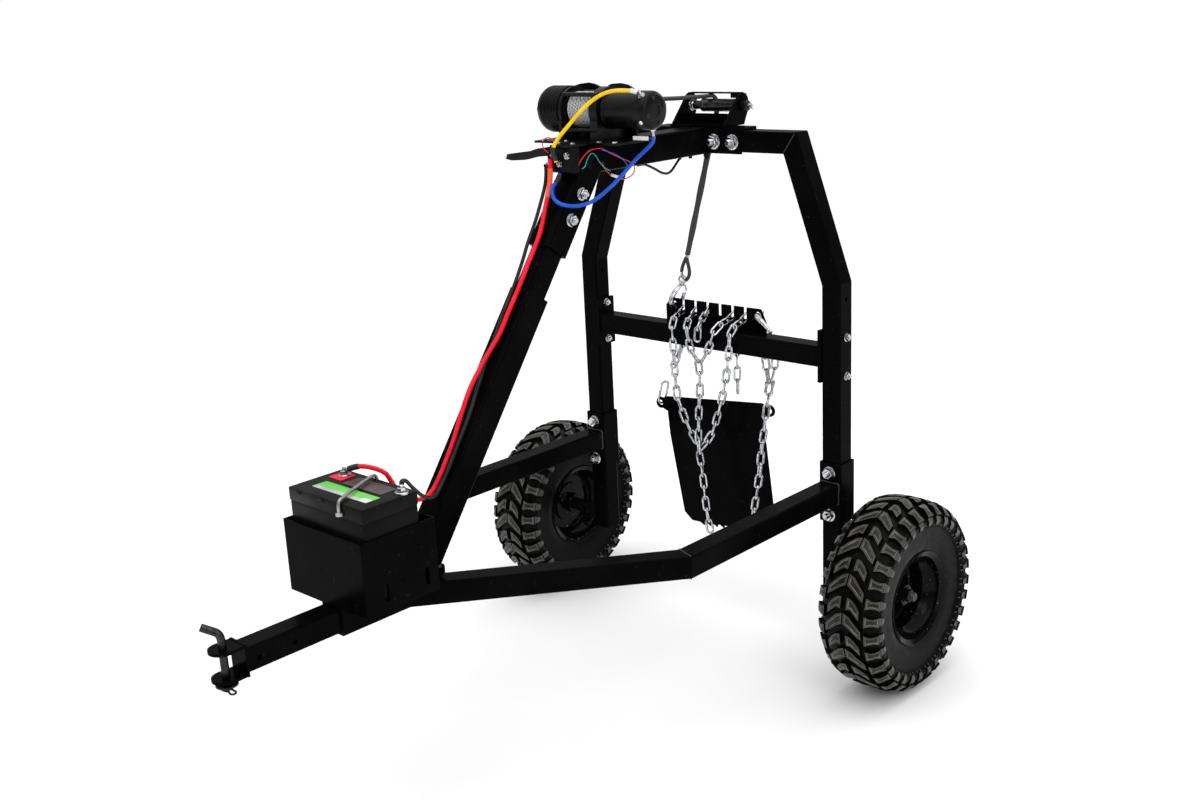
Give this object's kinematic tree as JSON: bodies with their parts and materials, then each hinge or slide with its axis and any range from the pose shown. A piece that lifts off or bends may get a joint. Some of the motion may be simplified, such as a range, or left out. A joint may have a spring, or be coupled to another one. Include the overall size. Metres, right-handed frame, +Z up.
{
  "type": "game cart",
  "caption": "Two-wheeled hauling arch with a sliding hitch tongue, leaning mast, electric winch, roller fairlead, chains, swinging skid plate and battery tray.",
  "frame": {"origin": "on the ground, under the middle of the whole cart without its leads and rope", "axes": "+Z up, -Y along the tongue towards the towing vehicle, +X to the winch motor's side"},
  "size_m": [1.268, 1.7153, 1.4319],
  "materials": {
    "frame_paint": "gloss black powder coat",
    "rim_paint": "gloss black enamel",
    "tyre": "black tread rubber",
    "zinc": "bright zinc plate",
    "winch_metal": "satin black castings",
    "plastic": "moulded black plastic",
    "rope": "grey braided synthetic rope",
    "lead_yellow": "yellow cable jacket",
    "lead_blue": "blue cable jacket",
    "lead_red": "red cable jacket",
    "lead_black": "black cable jacket"
  },
  "bodies": {
    "cart": {"upright_near": "frame_paint", "upright_far": "frame_paint", "arch_beam": "frame_paint", "cross_beam": "frame_paint", "arm_near": "frame_paint", "arm_far": "frame_paint", "arm_sleeve_near": "frame_paint", "arm_sleeve_far": "frame_paint", "receiver_tube": "frame_paint", "mast_lower": "frame_paint", "mast_inner": "frame_paint", "mast_head": "frame_paint", "boom": "frame_paint", "arch_saddle": "frame_paint", "fairlead_bracket": "frame_paint", "chain_plate": "frame_paint", "battery_tray": "frame_paint", "spindle_near": "zinc", "spindle_far": "zinc", "fairlead_bolt": "zinc", "rope_thimble": "zinc", "rope_hook": "zinc", "lift_hook": "zinc", "chain_left": "zinc", "chain_centre": "zinc", "chain_branch": "zinc", "chain_right": "zinc", "chain_sling": "zinc", "skid_link": "zinc", "battery_hold_down": "zinc", "winch_frame": "winch_metal", "winch_gearbox": "winch_metal", "winch_motor": "winch_metal", "battery": "plastic", "solenoid_box": "plastic", "control_lever": "plastic", "winch_rope": "rope", "motor_lead_yellow": "lead_yellow", "motor_lead_blue": "lead_blue", "battery_lead_red": "lead_red", "signal_wire": "lead_red", "battery_lead_black": "lead_black", "boom_lead": "lead_black"},
    "wheel_near": {"tyre_near": "tyre", "rim_near": "rim_paint", "hub_near": "rim_paint"},
    "wheel_far": {"tyre_far": "tyre", "rim_far": "rim_paint", "hub_far": "rim_paint"},
    "tongue": {"tongue_tube": "frame_paint", "hitch_clevis": "frame_paint"},
    "pin": {"hitch_pin": "zinc"},
    "clip": {"hitch_clip": "zinc"},
    "drum": {"winch_drum": "zinc", "winch_rope_wraps": "rope"},
    "knob": {"winch_clutch_knob": "plastic"},
    "roller": {"fairlead_roller": "zinc"},
    "skid": {"skid_plate": "frame_paint"},
    "tail": {"chain_tail": "zinc"},
    "latch": {"rope_hook_latch": "zinc"}
  },
  "joints": [
    {"name": "wheel_near_spin", "type": "hinge", "parent": "cart", "child": "wheel_near", "pos_m": [0.545, 0.6277, 0.2305], "axis": [1, 0, 0], "continuous": true},
    {"name": "wheel_far_spin", "type": "hinge", "parent": "cart", "child": "wheel_far", "pos_m": [-0.545, 0.6277, 0.2305], "axis": [1, 0, 0], "continuous": true},
    {"name": "tongue_slide", "type": "slide", "parent": "cart", "child": "tongue", "axis": [0, -1, 0], "range_m": [-0.12, 0.08]},
    {"name": "hitch_pin_turn", "type": "hinge", "parent": "tongue", "child": "pin", "pos_m": [0, -0.8253, 0.46], "axis": [0, 0, 1], "continuous": true},
    {"name": "hitch_clip_pull", "type": "slide", "parent": "pin", "child": "clip", "axis": [1, 0, 0], "range_m": [0, 0.03]},
    {"name": "winch_drum_spin", "type": "hinge", "parent": "cart", "child": "drum", "pos_m": [0, 0.2427, 1.3777], "axis": [1, 0, 0], "continuous": true},
    {"name": "clutch_knob_turn", "type": "hinge", "parent": "cart", "child": "knob", "pos_m": [-0.148, 0.2427, 1.3777], "axis": [-1, 0, 0], "range_deg": [0, 90]},
    {"name": "fairlead_roller_spin", "type": "hinge", "parent": "cart", "child": "roller", "pos_m": [0, 0.6777, 1.352], "axis": [1, 0, 0], "continuous": true},
    {"name": "skid_plate_swing", "type": "hinge", "parent": "cart", "child": "skid", "pos_m": [-0.011, 0.6547, 0.592], "axis": [0.9954, 0, 0.0953], "range_deg": [0, 14]},
    {"name": "chain_tail_swing", "type": "hinge", "parent": "cart", "child": "tail", "pos_m": [0.0556, 0.6707, 0.832], "axis": [1, 0, 0], "range_deg": [0, 40]},
    {"name": "hook_latch_open", "type": "hinge", "parent": "cart", "child": "latch", "pos_m": [-0.115, 0.6797, 0.896], "axis": [1, 0, 0], "range_deg": [0, 14], "stiffness_Nm_per_rad": 0.02, "springref_deg": -17.19}
  ]
}
